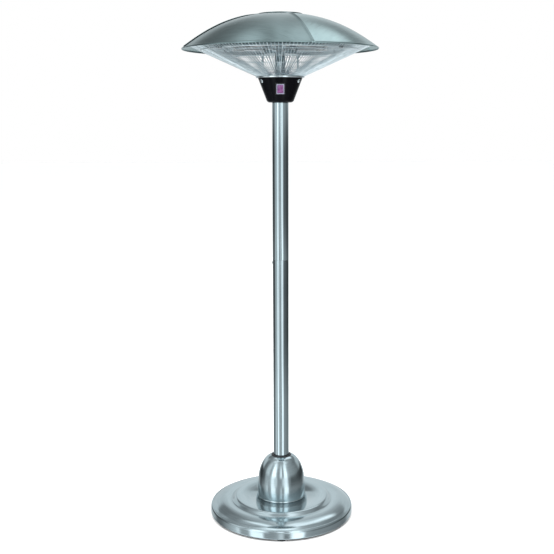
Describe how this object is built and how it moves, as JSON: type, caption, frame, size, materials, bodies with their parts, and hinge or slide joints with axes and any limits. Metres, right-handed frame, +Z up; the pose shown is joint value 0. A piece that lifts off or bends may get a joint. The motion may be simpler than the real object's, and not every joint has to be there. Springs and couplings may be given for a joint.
{
  "type": "electric patio heater",
  "caption": "Free-standing electric patio heater: stepped round base, slim two-part pole, black switch housing, conical wire guard and quartz tubes under a shallow domed canopy.",
  "frame": {"origin": "on the floor under the pole's axis, at the bottom centre of the bounding box", "axes": "+Z up along the pole, -Y is the front with the rocker switch, +X to the right seen from the front"},
  "size_m": [0.7458, 0.7458, 2.0176],
  "materials": {
    "steel": "brushed stainless steel",
    "canopy": "brushed aluminium",
    "polished": "polished bright metal",
    "zinc": "zinc-plated steel",
    "black_metal": "black powder coat",
    "black_plastic": "black moulded plastic",
    "rubber": "black rubber",
    "ballast": "cast concrete",
    "switch_pale": "pale grey plastic",
    "switch_lens": "translucent magenta plastic",
    "ceramic": "fired ceramic",
    "quartz": "clear quartz glass"
  },
  "bodies": {
    "stand": {"base_cover": "steel", "base_plate": "black_metal", "ballast_ring": "ballast", "base_foot_1": "rubber", "base_foot_2": "rubber", "base_foot_3": "rubber", "base_foot_4": "rubber", "pole_socket": "zinc", "socket_bolt_1": "zinc", "socket_bolt_2": "zinc", "socket_bolt_3": "zinc", "bell_cover": "steel", "collar_ring": "black_plastic", "cable_gland": "black_plastic", "inner_lead": "rubber", "lower_pole": "steel", "upper_pole": "steel", "pole_joiner": "zinc", "joiner_screw_1": "zinc", "joiner_screw_2": "zinc", "head_socket": "zinc", "head_housing": "black_plastic", "housing_pan": "polished", "housing_screw_1": "polished", "housing_screw_2": "polished", "housing_screw_3": "polished", "switch_frame": "switch_pale", "switch_body": "black_plastic", "terminal_block": "ceramic", "tilt_switch": "black_plastic", "centre_tube": "polished", "support_rod_1": "polished", "support_rod_2": "polished", "support_rod_3": "polished", "support_rod_4": "polished", "element_drum": "polished", "drum_plate": "zinc", "reflector_dish": "polished", "heating_tube_1": "quartz", "heating_tube_2": "quartz", "heating_tube_3": "quartz", "tube_holder_1": "ceramic", "tube_holder_2": "ceramic", "tube_holder_3": "ceramic", "tube_holder_4": "ceramic", "tube_holder_5": "ceramic", "tube_holder_6": "ceramic", "wire_guard": "polished", "guard_clip_1": "zinc", "guard_clip_2": "zinc", "guard_clip_3": "zinc", "guard_clip_4": "zinc", "canopy_panel_1": "canopy", "canopy_panel_2": "canopy", "canopy_panel_3": "canopy", "canopy_panel_4": "canopy", "canopy_hub": "zinc", "crown_cap": "canopy", "crown_bolt": "zinc"},
    "rocker": {"switch_rocker": "switch_lens"}
  },
  "joints": [
    {"name": "rocker_tilt", "type": "hinge", "parent": "stand", "child": "rocker", "pos_m": [0, -0.06661, 1.72811], "axis": [1, 0, 0], "range_deg": [0, 20]}
  ]
}
